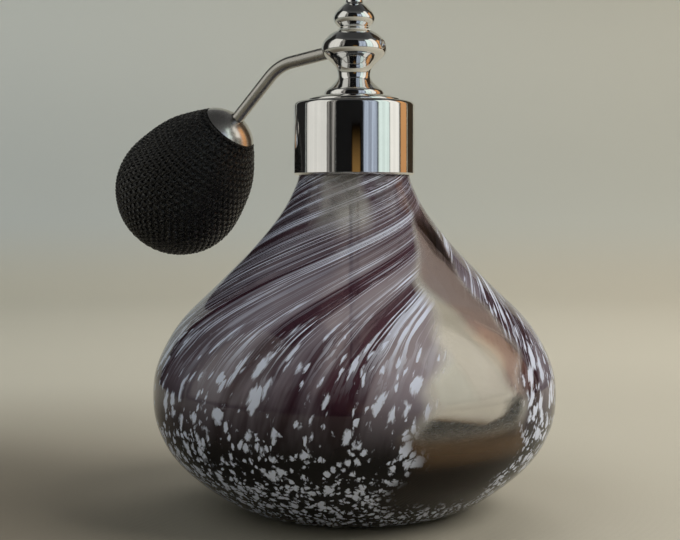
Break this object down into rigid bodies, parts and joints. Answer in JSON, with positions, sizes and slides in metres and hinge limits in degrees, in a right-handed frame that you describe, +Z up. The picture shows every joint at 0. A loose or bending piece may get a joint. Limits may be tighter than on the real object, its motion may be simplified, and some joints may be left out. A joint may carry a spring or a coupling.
{
  "type": "perfume atomiser",
  "caption": "Onion-shaped blown-glass perfume bottle with a screwed metal collar, turned spray head and netted squeeze bulb on a bent air tube.",
  "frame": {"origin": "centre of the bottle's flat base", "axes": "+Z up along the bottle's axis, the squeeze bulb towards -X and the spray outlet towards +X"},
  "size_m": [0.1127, 0.0926, 0.1236],
  "materials": {
    "glass": "dark smoky purple blown glass with drawn-out white flecks, polished",
    "cement": "matt plaster cement",
    "chrome": "polished chrome plate",
    "satin_nickel": "satin nickel plate",
    "satin_silver": "satin silver plate",
    "plated_inner": "plated, unpolished inside",
    "brass": "turned brass",
    "steel": "stainless steel",
    "seal_rubber": "moulded seal",
    "bulb_rubber": "soft dipped rubber",
    "net_yarn": "black crocheted yarn",
    "clear_plastic": "clear tube",
    "white_plastic": "moulded nylon"
  },
  "bodies": {
    "bottle": {"glass_bottle": "glass", "neck_cement": "cement", "neck_ferrule": "brass"},
    "siphon": {"neck_gasket": "seal_rubber", "siphon_flange": "plated_inner", "dip_tube": "clear_plastic"},
    "washer": {"slip_washer": "white_plastic"},
    "cap": {"cap_shell": "chrome", "cap_insert": "plated_inner"},
    "head": {"shoulder_plate": "chrome", "head_nut": "brass", "head_body": "chrome", "stem_o_ring": "seal_rubber", "nozzle_tip": "plated_inner", "liquid_jet": "brass", "air_tube": "satin_nickel"},
    "finial_seat": {"finial_washer": "white_plastic"},
    "finial": {"finial": "chrome"},
    "bulb": {"bulb_ferrule": "satin_silver", "bulb_nipple": "brass", "clamp_ring": "satin_silver", "net_drawcord": "net_yarn", "rubber_bulb": "bulb_rubber", "bulb_net": "net_yarn"},
    "outlet_ball": {"outlet_ball": "steel"},
    "valve": {"intake_valve": "brass", "intake_screen": "steel"},
    "intake_ball": {"intake_ball": "steel"}
  },
  "joints": [
    {"name": "head_lift", "type": "slide", "parent": "bottle", "child": "siphon", "axis": [0, 0, 1], "range_m": [0, 0.095]},
    {"name": "head_rise", "type": "slide", "parent": "siphon", "child": "washer", "axis": [0, 0, 1], "range_m": [0, 0.006]},
    {"name": "cap_turn", "type": "hinge", "parent": "washer", "child": "cap", "pos_m": [0, 0, 0.085], "axis": [0, 0, 1], "range_deg": [0, 1440]},
    {"name": "head_swivel", "type": "hinge", "parent": "washer", "child": "head", "pos_m": [0, 0, 0.0925], "axis": [0, 0, 1], "continuous": true},
    {"name": "finial_rise", "type": "slide", "parent": "head", "child": "finial_seat", "axis": [0, 0, 1], "range_m": [0, 0.002]},
    {"name": "finial_turn", "type": "hinge", "parent": "finial_seat", "child": "finial", "pos_m": [0, 0, 0.11], "axis": [0, 0, 1], "range_deg": [0, 1440]},
    {"name": "bulb_spin", "type": "hinge", "parent": "head", "child": "bulb", "pos_m": [-0.03484, 0, 0.08888], "axis": [-0.7071, 0, -0.7071], "continuous": true},
    {"name": "outlet_ball_lift", "type": "slide", "parent": "bulb", "child": "outlet_ball", "axis": [0.7071, 0, 0.7071], "range_m": [0, 0.0005]},
    {"name": "bulb_squeeze", "type": "slide", "parent": "bulb", "child": "valve", "axis": [0.7071, 0, 0.7071], "range_m": [0, 0.012], "stiffness_N_per_m": 300, "deforming": ["rubber_bulb", "bulb_net"]},
    {"name": "intake_ball_lift", "type": "slide", "parent": "valve", "child": "intake_ball", "axis": [0.7071, 0, 0.7071], "range_m": [0, 0.0005]}
  ],
  "couplings": [
    {"joint": "head_rise", "follows": "cap_turn", "m_per_rad": 0.0002387},
    {"joint": "finial_turn", "follows": "finial_rise", "rad_per_m": 12566}
  ]
}
